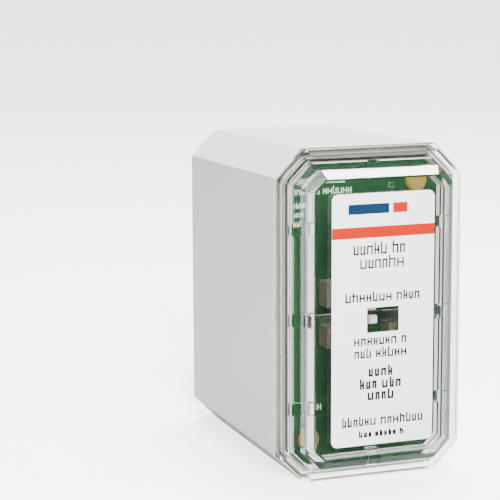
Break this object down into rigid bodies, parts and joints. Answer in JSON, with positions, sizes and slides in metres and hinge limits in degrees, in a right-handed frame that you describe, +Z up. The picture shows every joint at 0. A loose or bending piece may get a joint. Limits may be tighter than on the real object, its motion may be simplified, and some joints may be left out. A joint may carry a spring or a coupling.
{
  "type": "hard-wired surge protective device",
  "caption": "Compact octagonal surge protection module with a clear stepped cover, a threaded conduit nipple in its back and coiled wire leads.",
  "frame": {"origin": "middle of the flat underside of the housing, at mid-width and mid-depth of the housing body, on the surface it stands on", "axes": "+X to the right seen from the front, +Y from the clear cover to the back, where the nipple is, +Z up"},
  "size_m": [0.0865, 0.1468, 0.082],
  "materials": {
    "housing_grey": "fine satin moulded",
    "cover_clear": "clear polished polycarbonate",
    "seal_rubber": "matte",
    "label_white": "satin printed film",
    "board_green": "glossy solder mask on glass epoxy",
    "screw_brass": "bright",
    "led_white": "glossy",
    "capacitor_film": "satin",
    "resistor_black": "satin",
    "nipple_grey": "satin moulded",
    "module_plastic": "satin moulded",
    "strap_tinned": "tinned",
    "varistor_blue": "epoxy coat on zinc oxide ceramic",
    "link_solder": "cast low-melting solder",
    "shield_red": "satin moulded",
    "spring_steel": "drawn wire",
    "lead_black": "glossy nylon-jacketed insulation",
    "lead_white": "glossy nylon-jacketed insulation",
    "lead_green": "glossy nylon-jacketed insulation",
    "tie_black": "satin nylon"
  },
  "bodies": {
    "unit": {"board_screw_1": "screw_brass", "board_screw_2": "screw_brass", "circuit_board": "board_green", "coil_tie": "tie_black", "cover": "cover_clear", "cover_gasket": "seal_rubber", "film_capacitor_lower_left": "capacitor_film", "film_capacitor_lower_right": "capacitor_film", "film_capacitor_upper_left": "capacitor_film", "film_capacitor_upper_right": "capacitor_film", "front_strap_1": "strap_tinned", "front_strap_2": "strap_tinned", "front_strap_3": "strap_tinned", "housing": "housing_grey", "inner_lead_black_1": "lead_black", "inner_lead_black_2": "lead_black", "inner_lead_green": "lead_green", "inner_lead_white": "lead_white", "label": "label_white", "lead_black_1": "lead_black", "lead_black_2": "lead_black", "lead_coil": "lead_black", "lead_green": "lead_green", "lead_potting": "seal_rubber", "lead_white": "lead_white", "led_resistor_1": "resistor_black", "led_resistor_2": "resistor_black", "module_case_1": "module_plastic", "module_case_2": "module_plastic", "module_case_3": "module_plastic", "module_lid_1": "module_plastic", "module_lid_2": "module_plastic", "module_lid_3": "module_plastic", "nipple": "nipple_grey", "nipple_nut": "nipple_grey", "nipple_seal": "seal_rubber", "rear_strap_1": "strap_tinned", "rear_strap_2": "strap_tinned", "rear_strap_3": "strap_tinned", "shield_spring_1": "spring_steel", "shield_spring_2": "spring_steel", "shield_spring_3": "spring_steel", "status_led_lower": "led_white", "status_led_upper": "led_white", "thermal_link_1": "link_solder", "thermal_link_2": "link_solder", "thermal_link_3": "link_solder", "varistor_disc_1": "varistor_blue", "varistor_disc_2": "varistor_blue", "varistor_disc_3": "varistor_blue"},
    "shield_1": {"arc_shield_1": "shield_red"},
    "shield_2": {"arc_shield_2": "shield_red"},
    "shield_3": {"arc_shield_3": "shield_red"}
  },
  "joints": [
    {"name": "shield_slide_1", "type": "slide", "parent": "unit", "child": "shield_1", "axis": [0, 0, 1], "range_m": [0, 0.008], "deforming": ["shield_spring_1"]},
    {"name": "shield_slide_2", "type": "slide", "parent": "unit", "child": "shield_2", "axis": [0, 0, 1], "range_m": [0, 0.008], "deforming": ["shield_spring_2"]},
    {"name": "shield_slide_3", "type": "slide", "parent": "unit", "child": "shield_3", "axis": [0, 0, 1], "range_m": [0, 0.008], "deforming": ["shield_spring_3"]}
  ]
}
